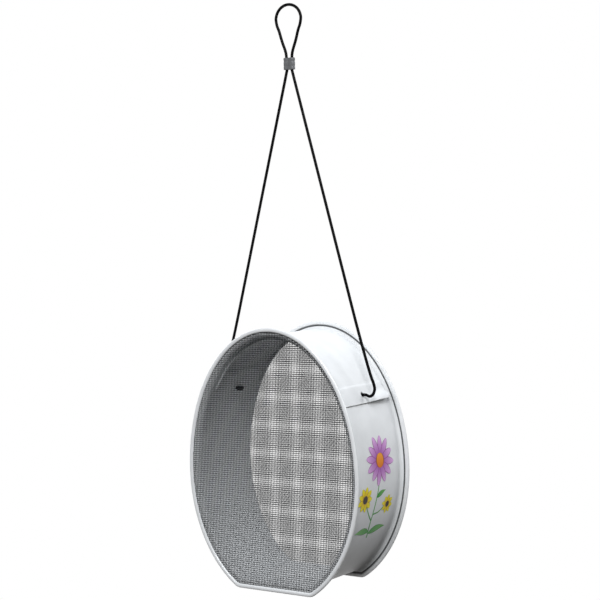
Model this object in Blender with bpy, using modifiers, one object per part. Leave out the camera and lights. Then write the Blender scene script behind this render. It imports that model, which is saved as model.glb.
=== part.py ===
"""Nyjer seed feeder.

An oval drum of white sheet steel hangs on one looped cable. The drum is a rolled band whose two edges
flare out into flanges. A channel-shaped rim is closed over each flange and holds a wire screen, through
which finches pull the seed. A curved lid covers the fill opening in the crown. The cable comes down on
both sides, passes through the lid's end tabs and the band, and ends in a stop sleeve inside the drum.
At the top a crimped ferrule closes the cable into a hanging loop.

Metres, +Z up. The drum's wide faces look along Y, and the origin is the inside of the loop's top.
The drum is drawn lying down: the outline's width and height in x and y, its depth in z, front up.
"""

import bmesh
import bpy
from math import asin, atan2, ceil, cos, pi, sin
from mathutils import Vector

# Drum, measured over the rims
DRUM_WIDTH = 0.205
DRUM_DEPTH = 0.100
CROWN_HEIGHT = 0.147  # widest line up to the top
FOOT_DEPTH = 0.119  # widest line down to the flat foot
FOOT_FULLNESS = 0.0135  # how far the lower half oval would pass below the foot
FOOT_BEND_RADIUS = 0.003  # barrel bend at each end of the foot

# Sheet steel and the seam between band, screen and rim
SHEET = 0.0007
SEAT_GAP = 0.0003
FLARE_RADIUS = 0.004
RIM_LIP = 0.0051
RIM_FACE = 0.0052
RIM_BEND = 0.0014

# Fill opening and lid
OPENING_END_HEIGHT = 0.099  # above the widest line
OPENING_MARGIN = 0.005
OPENING_CORNER = 0.008
LID_EDGE_GAP = 0.001
TAB_END_HEIGHT = 0.0705  # above the widest line
TAB_FOLD_HEIGHT = 0.0865
TAB_FOLD_RUN = 0.002
TAB_JOGGLE = 0.0012
TAB_CORNER = 0.004

# Screens, a plain square net that stands for the fine woven wire
NET_THICKNESS = 0.0008
NET_PITCH = 0.0165
NET_BAR = 0.002
NET_CLEAN = 0.0004  # net corners closer than this are one corner
NET_LEAST_SHARE = 0.05  # least part of a square that is still cut at the edge

# Cable, ferrule and stops
HANG_HEIGHT = 0.3892  # cable holes up to the inside of the loop
HOLE_HEIGHT = 0.0785  # cable holes above the widest line
CABLE_DIAMETER = 0.003
BAND_HOLE_SLACK = 0.0004
TAB_HOLE_SLACK = 0.001
FERRULE_TOP_DROP = 0.0516  # inside of the loop down to the ferrule
FERRULE_HEIGHT = 0.012
FERRULE_WALL = 0.0013
FERRULE_WAIST = 0.0007
STRAND_SPACING = 0.0066
LOOP_WIDTH = 0.0302  # centre to centre
LOOP_WIDEST_DROP = 0.013
STOP_LENGTH = 0.006
STOP_WALL = 0.0006
CABLE_END = 0.0005  # cable past the stop
# The loop's sides from its widest place to the ferrule: share of the width lost, share of the way down
NECK_SHARES = ((0.10, 0.155), (0.30, 0.30), (0.58, 0.567), (0.91, 0.83))
# Cable outside each tab, from the hole to the straight leg: out from the tab, up from the hole
BEND_ROUTE = (
    (0.0035, 0.0000),
    (0.0078, -0.0013),
    (0.0117, 0.0010),
    (0.0137, 0.0064),
    (0.0123, 0.0125),
    (0.0096, 0.0190),
    (0.0046, 0.0344),
    (-0.0014, 0.0542),
    (-0.0074, 0.0750),
    (-0.0143, 0.1000),
)

# Fineness of curves, in steps
CROWN_STEPS = 15
SIDE_STEPS = 8
BEND_STEPS = 3
RIM_BEND_STEPS = 2
FLARE_STEPS = 4
LOOP_STEPS = 7
LEG_STEPS = 6
TIGHT_BEND = pi / 6
ROUND_STEPS = 16
CORNER_STEPS = 4
OVERRUN = 0.01

# Worked out from the sizes above
RIM_RISE = FLARE_RADIUS + RIM_LIP
CORE_INSET = RIM_RISE + FOOT_BEND_RADIUS
CORE_WIDTH = DRUM_WIDTH / 2 - CORE_INSET
CORE_CROWN = CROWN_HEIGHT - CORE_INSET
CORE_FOOT = FOOT_DEPTH - CORE_INSET
CORE_BOWL = CORE_FOOT + FOOT_FULLNESS
FACE_FRONT = DRUM_DEPTH / 2
FACE_BACK = FACE_FRONT - SHEET
NET_FRONT = FACE_BACK - SEAT_GAP
FLANGE_FRONT = NET_FRONT - NET_THICKNESS - SEAT_GAP
FLANGE_BACK = FLANGE_FRONT - SHEET
LIP_FRONT = FLANGE_BACK - SEAT_GAP
LIP_BACK = LIP_FRONT - SHEET
FLARE_START = FLANGE_BACK - FLARE_RADIUS
SEATED_EDGE = RIM_RISE - RIM_BEND
CABLE_RADIUS = CABLE_DIAMETER / 2
BAND_HOLE_RADIUS = CABLE_RADIUS + BAND_HOLE_SLACK
TAB_HOLE_RADIUS = CABLE_RADIUS + TAB_HOLE_SLACK
FERRULE_RADIUS = CABLE_RADIUS + SEAT_GAP + FERRULE_WALL
STOP_RADIUS = CABLE_RADIUS + SEAT_GAP + STOP_WALL
LID_RISE = SEAT_GAP + SHEET / 2
TAB_RISE = LID_RISE + TAB_JOGGLE

UPRIGHT = (pi / 2, 0, 0)  # stands a piece that was drawn lying down


def clear_scene():
    for item in list(bpy.data.objects):
        bpy.data.objects.remove(item)


def new_collection(name):
    group = bpy.data.collections.new(name)
    bpy.context.scene.collection.children.link(group)
    return group


def new_material(name, colour, roughness, metallic):
    material = bpy.data.materials.new(name)
    material.use_nodes = True
    surface = material.node_tree.nodes["Principled BSDF"]
    surface.inputs["Base Color"].default_value = (*colour, 1)
    surface.inputs["Roughness"].default_value = roughness
    surface.inputs["Metallic"].default_value = metallic
    return material


def new_empty(name, group, location, parent=None):
    empty = bpy.data.objects.new(name, None)
    group.objects.link(empty)
    empty.location = location
    empty.parent = parent
    return empty


# The oval and its offsets


def crown_station(turn):
    """Point and outward normal on the core's upper half oval, turn measured from the top."""
    point = Vector((CORE_WIDTH * sin(turn), CORE_CROWN * cos(turn)))
    normal = Vector((sin(turn) / CORE_WIDTH, cos(turn) / CORE_CROWN)).normalized()
    return point, normal


def bowl_station(turn):
    """The same on the lower half oval, turn measured from the widest line down on the right."""
    point = Vector((CORE_WIDTH * cos(turn), -CORE_BOWL * sin(turn)))
    normal = Vector((cos(turn) / CORE_WIDTH, -sin(turn) / CORE_BOWL)).normalized()
    return point, normal


def oval_stations():
    """Stations round the whole core, clockwise from the top. The core's foot has sharp corners, which
    an offset rounds, so that each piece of the drum is an outward offset of this one shape."""
    foot_turn = asin(CORE_FOOT / CORE_BOWL)
    right = [crown_station(pi / 2 * i / CROWN_STEPS) for i in range(CROWN_STEPS + 1)]
    right += [bowl_station(foot_turn * i / SIDE_STEPS) for i in range(1, SIDE_STEPS + 1)]
    corner, normal = right[-1]
    start = atan2(normal.y, normal.x)
    for i in range(1, BEND_STEPS + 1):
        turn = start + (-pi / 2 - start) * i / BEND_STEPS
        right.append((corner, Vector((cos(turn), sin(turn)))))
    left = [(Vector((-p.x, p.y)), Vector((-n.x, n.y))) for p, n in reversed(right[1:])]
    return right + left


def outline(rise):
    """The oval as a ring of points, rise above the barrel's outer surface."""
    return [p + n * (FOOT_BEND_RADIUS + rise) for p, n in oval_stations()]


def crown_point(turn, rise):
    point, normal = crown_station(turn)
    return point + normal * (FOOT_BEND_RADIUS + rise)


def crown_turn(height, rise):
    """Turn from the top at which a surface with this rise is this high above the widest line."""
    low, high = 0, pi / 2
    for _ in range(60):
        middle = (low + high) / 2
        if crown_point(middle, rise).y > height:
            low = middle
        else:
            high = middle
    return low


def wall_reach(height, rise):
    """Distance of the wall from the middle at this height."""
    return crown_point(crown_turn(height, rise), rise).x


# Ways to make a piece


def add_spline(curve, points, closed):
    spline = curve.splines.new("POLY")
    spline.points.add(len(points) - 1)
    for knot, point in zip(spline.points, points):
        knot.co = (*point, 1) if len(point) == 3 else (*point, 0, 1)
    spline.use_cyclic_u = closed


def new_curve(name, dimensions, *splines, closed=True):
    curve = bpy.data.curves.new(name, "CURVE")
    curve.dimensions = dimensions
    for points in splines:
        add_spline(curve, points, closed)
    return curve


def mesh_of(curve, name):
    """The curve's mesh with its caps welded and its faces turned outwards."""
    holder = bpy.data.objects.new(name, curve)
    bpy.context.scene.collection.objects.link(holder)
    bpy.context.view_layer.update()
    evaluated = holder.evaluated_get(bpy.context.evaluated_depsgraph_get())
    mesh = bpy.data.meshes.new_from_object(evaluated)
    bpy.data.objects.remove(holder)
    shape = bmesh.new()
    shape.from_mesh(mesh)
    bmesh.ops.remove_doubles(shape, verts=shape.verts, dist=SEAT_GAP / 100)
    bmesh.ops.recalc_face_normals(shape, faces=shape.faces)
    shape.to_mesh(mesh)
    shape.free()
    mesh.name = name
    return mesh


def place(name, mesh, group, material, parent, location=(0, 0, 0), rotation=(0, 0, 0)):
    piece = bpy.data.objects.new(name, mesh)
    group.objects.link(piece)
    piece.data.materials.clear()
    piece.data.materials.append(material)
    piece.parent = parent
    piece.location = location
    piece.rotation_euler = rotation
    mesh.shade_smooth()
    mesh.set_sharp_from_angle(angle=pi / 6)
    return piece


def plate_mesh(name, edge, holes, thickness):
    """A flat plate with holes, drawn in x and y, centred on z."""
    curve = new_curve(name, "2D", edge, *holes)
    curve.fill_mode = "BOTH"
    curve.extrude = thickness / 2
    return mesh_of(curve, name)


def swept_mesh(name, section, closed):
    """A section carried round the barrel's outer surface. A section's x is its rise, its y its depth."""
    profile_curve = new_curve(name + "_section", "2D", section, closed=closed)
    profile = bpy.data.objects.new(name + "_section", profile_curve)
    bpy.context.scene.collection.objects.link(profile)
    path = new_curve(name, "3D", outline(0)[::-1])
    path.twist_mode = "Z_UP"
    path.bevel_mode = "OBJECT"
    path.bevel_object = profile
    mesh = mesh_of(path, name)
    bpy.data.objects.remove(profile)
    return mesh


def circle(radius, centre=(0, 0)):
    steps = [2 * pi * i / ROUND_STEPS for i in range(ROUND_STEPS)]
    return [(centre[0] + radius * cos(a), centre[1] + radius * sin(a)) for a in steps]


def add_cutter(name, mesh, group, parent, location, rotation=(0, 0, 0)):
    cutter = bpy.data.objects.new(name, mesh)
    group.objects.link(cutter)
    cutter.parent = parent
    cutter.location = location
    cutter.rotation_euler = rotation
    cutter.hide_render = True
    cutter.display_type = "WIRE"
    return cutter


def cut(piece, cutter):
    modifier = piece.modifiers.new(cutter.name, "BOOLEAN")
    modifier.operation = "DIFFERENCE"
    modifier.object = cutter


def thicken(piece, thickness):
    modifier = piece.modifiers.new("Sheet", "SOLIDIFY")
    modifier.thickness = thickness
    modifier.offset = 0
    modifier.use_even_offset = True


def cross_drill(name, radius, group, parent):
    """A cutter that runs across the drum through both cable holes."""
    shape = bmesh.new()
    bmesh.ops.create_cone(
        shape,
        cap_ends=True,
        segments=ROUND_STEPS,
        radius1=radius,
        radius2=radius,
        depth=DRUM_WIDTH + OVERRUN,
    )
    mesh = bpy.data.meshes.new(name)
    shape.to_mesh(mesh)
    shape.free()
    return add_cutter(name, mesh, group, parent, (0, 0, 0), (0, pi / 2, 0))


# Drum


def band_section():
    """The sheet's middle line from the rear flange over the barrel to the front flange."""
    radius = FLARE_RADIUS + SHEET / 2
    half = [(SEATED_EDGE, FLARE_START + radius)]
    for i in range(FLARE_STEPS + 1):
        turn = pi / 2 * i / FLARE_STEPS
        half.append((FLARE_RADIUS - radius * sin(turn), FLARE_START + radius * cos(turn)))
    return half + [(rise, -depth) for rise, depth in reversed(half)]


def fill_cutter(group, parent):
    """Cuts the crown open between the two flares. Its lower corners are rounded."""
    width = DRUM_WIDTH
    depth = 2 * (FLARE_START - OPENING_MARGIN)
    bottom = OPENING_END_HEIGHT - HOLE_HEIGHT
    top = CROWN_HEIGHT - HOLE_HEIGHT + OVERRUN
    shape = bmesh.new()
    bmesh.ops.create_cube(shape, size=1)
    bmesh.ops.scale(shape, vec=(width, depth, top - bottom), verts=shape.verts)
    low_edges = [
        edge
        for edge in shape.edges
        if all(v.co.z < 0 for v in edge.verts) and edge.verts[0].co.y == edge.verts[1].co.y
    ]
    bmesh.ops.bevel(
        shape, geom=low_edges, offset=OPENING_CORNER, segments=CORNER_STEPS, affect="EDGES", profile=0.5
    )
    mesh = bpy.data.meshes.new("fill_cutter")
    shape.to_mesh(mesh)
    shape.free()
    return add_cutter("fill_cutter", mesh, group, parent, (0, 0, (bottom + top) / 2))


def make_band(parts, cutters, pivot, material):
    mesh = swept_mesh("drum_band", band_section(), closed=False)
    band = place("drum_band", mesh, parts, material, pivot, (0, 0, -HOLE_HEIGHT), UPRIGHT)
    thicken(band, SHEET)
    cut(band, fill_cutter(cutters, pivot))
    cut(band, cross_drill("band_hole_cutter", BAND_HOLE_RADIUS, cutters, pivot))


def rim_section(side):
    """A channel that opens inwards: face, round outer wall and the lip behind the flange."""
    wall = RIM_RISE
    inner = RIM_RISE - SHEET
    bend = wall - RIM_BEND
    turns = [pi / 2 * i / RIM_BEND_STEPS for i in range(RIM_BEND_STEPS + 1)]
    front = [(bend + RIM_BEND * sin(a), FACE_FRONT - RIM_BEND * (1 - cos(a))) for a in turns]
    back = [(bend + RIM_BEND * cos(a), LIP_BACK + RIM_BEND * (1 - sin(a))) for a in turns]
    points = [(wall - RIM_FACE, FACE_FRONT), *front, *back]
    points += [
        (FLARE_RADIUS, LIP_BACK),
        (FLARE_RADIUS, LIP_FRONT),
        (bend, LIP_FRONT),
        (inner, LIP_FRONT + RIM_BEND - SHEET),
        (inner, FACE_BACK - RIM_BEND + SHEET),
        (bend, FACE_BACK),
        (wall - RIM_FACE, FACE_BACK),
    ]
    return [(rise, side * depth) for rise, depth in points]


def make_rim(name, side, parts, pivot, material):
    mesh = swept_mesh(name, rim_section(side), closed=True)
    place(name, mesh, parts, material, pivot, (0, 0, -HOLE_HEIGHT), UPRIGHT)


def clip(polygon, ring):
    """The part of a polygon that lies inside a clockwise convex ring."""
    for start, end in zip(ring, ring[1:] + ring[:1]):
        along = end - start
        kept = []
        for a, b in zip(polygon, polygon[1:] + polygon[:1]):
            side_a = along.cross(a - start)
            side_b = along.cross(b - start)
            if side_a <= 0:
                kept.append(a)
            if side_a * side_b < 0:
                kept.append(a + (b - a) * (side_a / (side_a - side_b)))
        polygon = kept
        if not polygon:
            return []
    return polygon


def without_close_corners(polygon):
    kept = []
    for point in polygon:
        if not kept or (point - kept[-1]).length > NET_CLEAN:
            kept.append(point)
    while len(kept) > 1 and (kept[0] - kept[-1]).length <= NET_CLEAN:
        kept.pop()
    return kept


def area(polygon):
    pairs = zip(polygon, polygon[1:] + polygon[:1])
    return abs(sum(a.cross(b) for a, b in pairs)) / 2


def net_holes():
    """Square gaps on a centred grid. Those at the edge are cut to the rim's inner edge."""
    ring = outline(RIM_RISE - RIM_FACE)
    columns = ceil(DRUM_WIDTH / 2 / NET_PITCH)
    rows = ceil(max(CROWN_HEIGHT, FOOT_DEPTH) / NET_PITCH)
    half = (NET_PITCH - NET_BAR) / 2
    holes = []
    for row in range(-rows, rows + 1):
        for column in range(-columns, columns + 1):
            x = column * NET_PITCH
            y = row * NET_PITCH
            square = [Vector((x + i * half, y + j * half)) for i, j in ((-1, -1), (-1, 1), (1, 1), (1, -1))]
            hole = without_close_corners(clip(square, ring))
            if len(hole) > 2 and area(hole) > NET_LEAST_SHARE * NET_PITCH**2:
                holes.append(hole)
    return holes


def make_screen(name, side, parts, pivot, material):
    mesh = plate_mesh(name, outline(SEATED_EDGE), net_holes(), NET_THICKNESS)
    depth = NET_FRONT - NET_THICKNESS / 2
    place(name, mesh, parts, material, pivot, (0, -side * depth, -HOLE_HEIGHT), UPRIGHT)


# Lid


def lid_path():
    """Middle line of the lid from its left tab over the crown to its right tab. Over the crown it has
    the band's own stations, so that the two lie evenly on each other."""
    end = crown_turn(TAB_END_HEIGHT, TAB_RISE)
    fold = crown_turn(TAB_FOLD_HEIGHT, TAB_RISE)
    top = crown_turn(TAB_FOLD_HEIGHT + TAB_FOLD_RUN, LID_RISE)
    turns = [pi / 2 * i / CROWN_STEPS for i in range(CROWN_STEPS)]
    right = [crown_point(turn, LID_RISE) for turn in turns if turn < top]
    right.append(crown_point(top, LID_RISE))
    right += [crown_point(turn, TAB_RISE) for turn in (fold, (fold + end) / 2, end)]
    left = [Vector((-p.x, p.y)) for p in reversed(right[1:])]
    return left + right


def round_corners(mesh, radius):
    """Rounds the four corners of an open sheet."""
    shape = bmesh.new()
    shape.from_mesh(mesh)
    corners = [v for v in shape.verts if len(v.link_edges) == 2]
    bmesh.ops.bevel(shape, geom=corners, offset=radius, segments=CORNER_STEPS, affect="VERTICES", profile=0.5)
    shape.to_mesh(mesh)
    shape.free()


def make_lid(parts, cutters, pivot, material):
    curve = new_curve("lid", "2D", lid_path(), closed=False)
    curve.extrude = FLARE_START - LID_EDGE_GAP
    mesh = mesh_of(curve, "lid")
    round_corners(mesh, TAB_CORNER)
    slide = new_empty("lid_slide", parts, (0, 0, 0), pivot)
    lid = place("lid", mesh, parts, material, slide, (0, 0, -HOLE_HEIGHT), UPRIGHT)
    thicken(lid, SHEET)
    cut(lid, cross_drill("tab_hole_cutter", TAB_HOLE_RADIUS, cutters, pivot))


# Cable


def hole_edge():
    """Where the cable leaves the tab, measured from the middle of the drum."""
    return wall_reach(HOLE_HEIGHT, TAB_RISE + SHEET / 2)


def stop_seat():
    """Outer end of a stop, just clear of the band where the leaning wall comes closest."""
    return wall_reach(HOLE_HEIGHT + STOP_RADIUS, -SHEET) - SEAT_GAP


def half_route():
    """The cable's right half in x and z, from the loop's top to its end inside the drum."""
    top = CABLE_RADIUS
    widest = -LOOP_WIDEST_DROP
    half_width = LOOP_WIDTH / 2
    strand = STRAND_SPACING / 2
    ferrule_top = -FERRULE_TOP_DROP
    ferrule_end = ferrule_top - FERRULE_HEIGHT
    hole = -HANG_HEIGHT
    route = []
    for i in range(LOOP_STEPS + 1):
        turn = pi / 2 * i / LOOP_STEPS
        route.append((half_width * sin(turn), widest + (top - widest) * cos(turn)))
    for lost, down in NECK_SHARES:
        route.append((half_width + (strand - half_width) * lost, widest + (ferrule_top - widest) * down))
    route += [(strand, ferrule_top), (strand, ferrule_end)]
    bend = [(hole_edge() + out, hole + up) for out, up in reversed(BEND_ROUTE)]
    exit_z = ferrule_end - CABLE_DIAMETER
    exit_x = strand + CABLE_RADIUS * (bend[0][0] - strand) / (exit_z - bend[0][1])
    for i in range(LEG_STEPS):
        share = i / LEG_STEPS
        route.append((exit_x + (bend[0][0] - exit_x) * share, exit_z + (bend[0][1] - exit_z) * share))
    route += bend
    inner_end = stop_seat() - STOP_LENGTH - CABLE_END
    return route + [(hole_edge(), hole), (stop_seat(), hole), (inner_end, hole)]


def smooth(points):
    """Points of a Catmull-Rom curve through the route, with one more between two where it bends tightly."""
    padded = [points[0] * 2 - points[1], *points, points[-1] * 2 - points[-2]]
    fine = []
    for a, b, c, d in zip(padded, padded[1:], padded[2:], padded[3:]):
        fine.append(b)
        if (b - a).angle(d - c) > TIGHT_BEND:
            fine.append((b + c) * 9 / 16 - (a + d) / 16)
    return fine + [points[-1]]


def cable_route():
    right = [Vector((x, 0, z)) for x, z in half_route()]
    left = [Vector((-p.x, 0, p.z)) for p in reversed(right[1:])]
    return smooth(left + right)


def make_cable(parts, material):
    route = cable_route()
    curve = new_curve("hanging_cable", "3D", route, closed=False)
    curve.bevel_depth = CABLE_RADIUS
    curve.bevel_resolution = 2
    curve.use_fill_caps = True
    place("hanging_cable", mesh_of(curve, "hanging_cable"), parts, material, None)
    length = sum((b - a).length for a, b in zip(route, route[1:]))
    print("cable length in metres:", round(length, 3), "points:", len(route))


def ferrule_edge():
    """Two round lobes with a shallow waist between them."""
    strand = STRAND_SPACING / 2
    quarter = [
        (strand * i / CORNER_STEPS, FERRULE_RADIUS - FERRULE_WAIST * (1 + cos(pi * i / CORNER_STEPS)) / 2)
        for i in range(CORNER_STEPS + 1)
    ]
    for i in range(1, CORNER_STEPS + 1):
        turn = pi / 2 * i / CORNER_STEPS
        quarter.append((strand + FERRULE_RADIUS * sin(turn), FERRULE_RADIUS * cos(turn)))
    right = quarter + [(x, -y) for x, y in reversed(quarter[:-1])]
    return right + [(-x, y) for x, y in reversed(right[1:-1])]


def make_ferrule(parts, material):
    strand = STRAND_SPACING / 2
    bores = [circle(CABLE_RADIUS + SEAT_GAP, (x, 0)) for x in (-strand, strand)]
    mesh = plate_mesh("ferrule", ferrule_edge(), bores, FERRULE_HEIGHT)
    place("ferrule", mesh, parts, material, None, (0, 0, -FERRULE_TOP_DROP - FERRULE_HEIGHT / 2))


def make_stop(name, side, parts, material):
    mesh = plate_mesh(name, circle(STOP_RADIUS), [circle(CABLE_RADIUS + SEAT_GAP)], STOP_LENGTH)
    middle = stop_seat() - STOP_LENGTH / 2
    place(name, mesh, parts, material, None, (side * middle, 0, -HANG_HEIGHT), (0, pi / 2, 0))


def main():
    clear_scene()
    parts = new_collection("nyjer_seed_feeder")
    cutters = new_collection("cutters")
    white = new_material("white_powder_coat", (0.86, 0.87, 0.88), 0.35, 0)
    wire = new_material("galvanised_wire", (0.42, 0.43, 0.44), 0.45, 0.9)
    black = new_material("black_cable_coating", (0.012, 0.012, 0.013), 0.45, 0)
    aluminium = new_material("aluminium_ferrule", (0.35, 0.35, 0.36), 0.4, 1)
    pivot = new_empty("cable_hole_axis", parts, (0, 0, -HANG_HEIGHT))
    make_band(parts, cutters, pivot, white)
    for name, side in (("front_rim", 1), ("rear_rim", -1)):
        make_rim(name, side, parts, pivot, white)
    for name, side in (("front_screen", 1), ("rear_screen", -1)):
        make_screen(name, side, parts, pivot, wire)
    make_lid(parts, cutters, pivot, white)
    make_cable(parts, black)
    make_ferrule(parts, aluminium)
    for name, side in (("cable_stop_left", -1), ("cable_stop_right", 1)):
        make_stop(name, side, parts, black)


main()
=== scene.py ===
# %% [markdown]
# # A hanging nyjer seed feeder
# An oval drum of white sheet steel hangs from one looped black cable. Its two wide sides are
# woven wire, through which finches pull the thin seed, and its crown opens under a lid.
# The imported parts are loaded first, and each one then gets a finer piece in the same place.

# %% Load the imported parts
import bpy
import math
import numpy as np
from mathutils import Matrix, Vector


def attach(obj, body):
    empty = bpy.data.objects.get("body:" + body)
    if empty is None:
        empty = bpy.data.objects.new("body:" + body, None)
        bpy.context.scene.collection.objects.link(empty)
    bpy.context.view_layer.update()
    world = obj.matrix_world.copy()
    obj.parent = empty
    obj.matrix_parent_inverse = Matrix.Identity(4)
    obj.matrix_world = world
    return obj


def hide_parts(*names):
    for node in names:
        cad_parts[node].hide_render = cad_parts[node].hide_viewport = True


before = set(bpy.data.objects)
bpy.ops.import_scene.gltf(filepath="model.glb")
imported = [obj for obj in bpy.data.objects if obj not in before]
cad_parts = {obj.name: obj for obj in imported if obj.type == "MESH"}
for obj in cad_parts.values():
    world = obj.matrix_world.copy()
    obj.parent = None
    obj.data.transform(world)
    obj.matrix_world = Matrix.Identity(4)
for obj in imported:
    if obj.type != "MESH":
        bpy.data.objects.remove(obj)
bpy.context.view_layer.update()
print("nodes:", sorted(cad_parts))

# %% [markdown]
# ## The camera
# The photographer stood to the right of the front and a little above the drum. The feeder
# hangs slightly askew in the picture, so the camera rolls by about one degree. The angles
# are in radians and the lens in millimetres.

# %% Camera
CAMERA_PLACE = (0.92633, -1.36036, -0.1979)
CAMERA_YAW = 0.5946
CAMERA_PITCH = 0.0597
CAMERA_ROLL = -0.0229
CAMERA_LENS = 97.328


def add_camera():
    bpy.ops.object.camera_add(location=CAMERA_PLACE)
    camera = bpy.context.object
    camera.name = "camera"
    yaw = Matrix.Rotation(CAMERA_YAW, 4, "Z")
    tip = Matrix.Rotation(math.pi / 2 - CAMERA_PITCH, 4, "X")
    roll = Matrix.Rotation(CAMERA_ROLL, 4, "Z")
    camera.rotation_euler = (yaw @ tip @ roll).to_euler()
    camera.data.lens = CAMERA_LENS
    camera.data.sensor_width = 36
    camera.data.clip_start = 0.05
    camera.data.clip_end = 30
    bpy.context.scene.camera = camera
    return camera


camera = add_camera()
print("camera:", [round(v, 3) for v in camera.location])

# %% [markdown]
# ## Sizes that several pieces share
# All sizes are in metres. The drum is 205 mm wide. From its widest line it reaches 147 mm up to
# the crown and 119 mm down to a short flat foot. Every piece of the drum is an outward offset of
# one smaller oval, the core. The barrel's outer surface has rise 0, and a surface with rise
# 0.009 lies 9 mm outside it. Depth is measured from the drum's middle towards the back.

# %% Shared sizes
CABLE_HOLES_Z = -0.3892
WIDEST_BELOW_HOLES = 0.0785
WIDEST_Z = CABLE_HOLES_Z - WIDEST_BELOW_HOLES
HALF_WIDTH = 0.1025
CROWN_HEIGHT = 0.147
FOOT_DROP = 0.119
BOWL_PAST_FOOT = 0.0135
SHEET = 0.0007
FOOT_BEND = 0.003
FLARE = 0.004
RIM_RISE = 0.0091
FACE_FRONT = 0.05
FLANGE_BACK = 0.0472
FLARE_START = FLANGE_BACK - FLARE
CORE_WIDTH = HALF_WIDTH - RIM_RISE - FOOT_BEND
CORE_CROWN = CROWN_HEIGHT - RIM_RISE - FOOT_BEND
CORE_FOOT = FOOT_DROP - RIM_RISE - FOOT_BEND
CORE_BOWL = CORE_FOOT + BOWL_PAST_FOOT
print("core:", round(2 * CORE_WIDTH, 4), "m wide,", round(CORE_CROWN + CORE_FOOT, 4), "m high")

# %% [markdown]
# ## The oval
# The core's upper half is half an ellipse. Its lower half is another that the foot cuts off
# flat, with a small bend at each corner. A station is a point of it with its outward direction.

# %% Stations round the oval


def crown_station(turn):
    """A point of the upper half and its outward direction, this turn away from the top."""
    point = Vector((CORE_WIDTH * math.sin(turn), CORE_CROWN * math.cos(turn)))
    normal = Vector((math.sin(turn) / CORE_WIDTH, math.cos(turn) / CORE_CROWN)).normalized()
    return point, normal


def bowl_station(turn):
    """The same for the lower half, this turn below the widest line."""
    point = Vector((CORE_WIDTH * math.cos(turn), -CORE_BOWL * math.sin(turn)))
    normal = Vector((math.cos(turn) / CORE_WIDTH, -math.sin(turn) / CORE_BOWL)).normalized()
    return point, normal


def oval_stations(crown_steps, bowl_steps, bend_steps):
    """The stations once round the core, from the top down the right side and up the left."""
    foot_turn = math.asin(CORE_FOOT / CORE_BOWL)
    right = [crown_station(math.pi / 2 * i / crown_steps) for i in range(crown_steps + 1)]
    right += [bowl_station(foot_turn * i / bowl_steps) for i in range(1, bowl_steps + 1)]
    corner, normal = right[-1]
    start = math.atan2(normal.y, normal.x)
    for i in range(1, bend_steps + 1):
        turn = start + (-math.pi / 2 - start) * i / bend_steps
        right.append((corner, Vector((math.cos(turn), math.sin(turn)))))
    left = [(Vector((-p.x, p.y)), Vector((-n.x, n.y))) for p, n in reversed(right[1:])]
    return right + left


def on_oval(station, rise, depth):
    """The place of a point on the drum."""
    point, normal = station
    flat = point + normal * (FOOT_BEND + rise)
    return Vector((flat.x, depth, WIDEST_Z + flat.y))


STATIONS = oval_stations(60, 34, 6)
print("stations round the drum:", len(STATIONS))

# %% [markdown]
# ## Helpers for modelling
# Every operator acts on what is selected, so a step starts by deselecting everything. The real
# band, rims and lid are flat strips that rollers bend to shape. One helper does the same: it
# adds a flat grid and carries each corner of it to its place on the drum.

# %% Select, weld, roll and smooth


def only(piece):
    """Selects this piece alone."""
    bpy.ops.object.select_all(action="DESELECT")
    piece.select_set(True)
    bpy.context.view_layer.objects.active = piece


def weld(piece, distance=0.00001):
    """Merges corners that lie together and turns all faces outwards."""
    only(piece)
    bpy.ops.object.mode_set(mode="EDIT")
    bpy.ops.mesh.select_all(action="SELECT")
    bpy.ops.mesh.remove_doubles(threshold=distance)
    bpy.ops.mesh.normals_make_consistent(inside=False)
    bpy.ops.object.mode_set(mode="OBJECT")


def rolled_grid(name, columns, rows, place):
    """A flat grid whose corner (column, row) is carried to place(column, row)."""
    bpy.ops.object.select_all(action="DESELECT")
    bpy.ops.mesh.primitive_grid_add(x_subdivisions=columns - 1, y_subdivisions=rows - 1, size=1)
    piece = bpy.context.object
    piece.name = name
    for corner in piece.data.vertices:
        column = round((corner.co.x + 0.5) * (columns - 1))
        row = round((corner.co.y + 0.5) * (rows - 1))
        corner.co = place(column, row)
    return piece


def smooth(piece, degrees=35):
    """Shades smooth over every edge that turns by less than this many degrees."""
    only(piece)
    bpy.ops.object.shade_smooth_by_angle(angle=math.radians(degrees))


print("modelling helpers ready")

# %% [markdown]
# ## Helpers for materials
# Colours are written as hex values, as picked on a screen, and one function turns them into the
# linear numbers that Blender computes with. Another adds a node with its settings and links, so
# that a material reads as a list of its layers. A noise texture's scale is its number of
# patches in a metre, so 55 gives patches of about 18 mm.

# %% Material helpers


def paint(code):
    """An sRGB hex colour as linear red, green, blue and alpha."""
    parts = [int(code[i:i + 2], 16) / 255 for i in (1, 3, 5)]
    linear = [v / 12.92 if v <= 0.04045 else ((v + 0.055) / 1.055) ** 2.4 for v in parts]
    return (*linear, 1)


def feed(tree, target, links):
    """Joins sockets of the target to the outputs of other nodes."""
    for socket, (source, output) in links.items():
        tree.links.new(source.outputs[output], target.inputs[socket])


def node(tree, kind, values=None, links=None, **settings):
    """Adds a ShaderNode of this kind. Values fill its sockets, and links join them to others."""
    made = tree.nodes.new("ShaderNode" + kind)
    for name, value in settings.items():
        setattr(made, name, value)
    for socket, value in (values or {}).items():
        made.inputs[socket].default_value = value
    feed(tree, made, links or {})
    return made


def new_material(name, values):
    """A material, its tree, and its Principled shader with these values in its sockets."""
    material = bpy.data.materials.new(name)
    material.use_nodes = True
    shader = material.node_tree.nodes["Principled BSDF"]
    for socket, value in values.items():
        shader.inputs[socket].default_value = value
    return material, material.node_tree, shader


def dress(piece, material):
    piece.data.materials.clear()
    piece.data.materials.append(material)


print("white is", [round(v, 2) for v in paint("#F0F2F4")])

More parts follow.
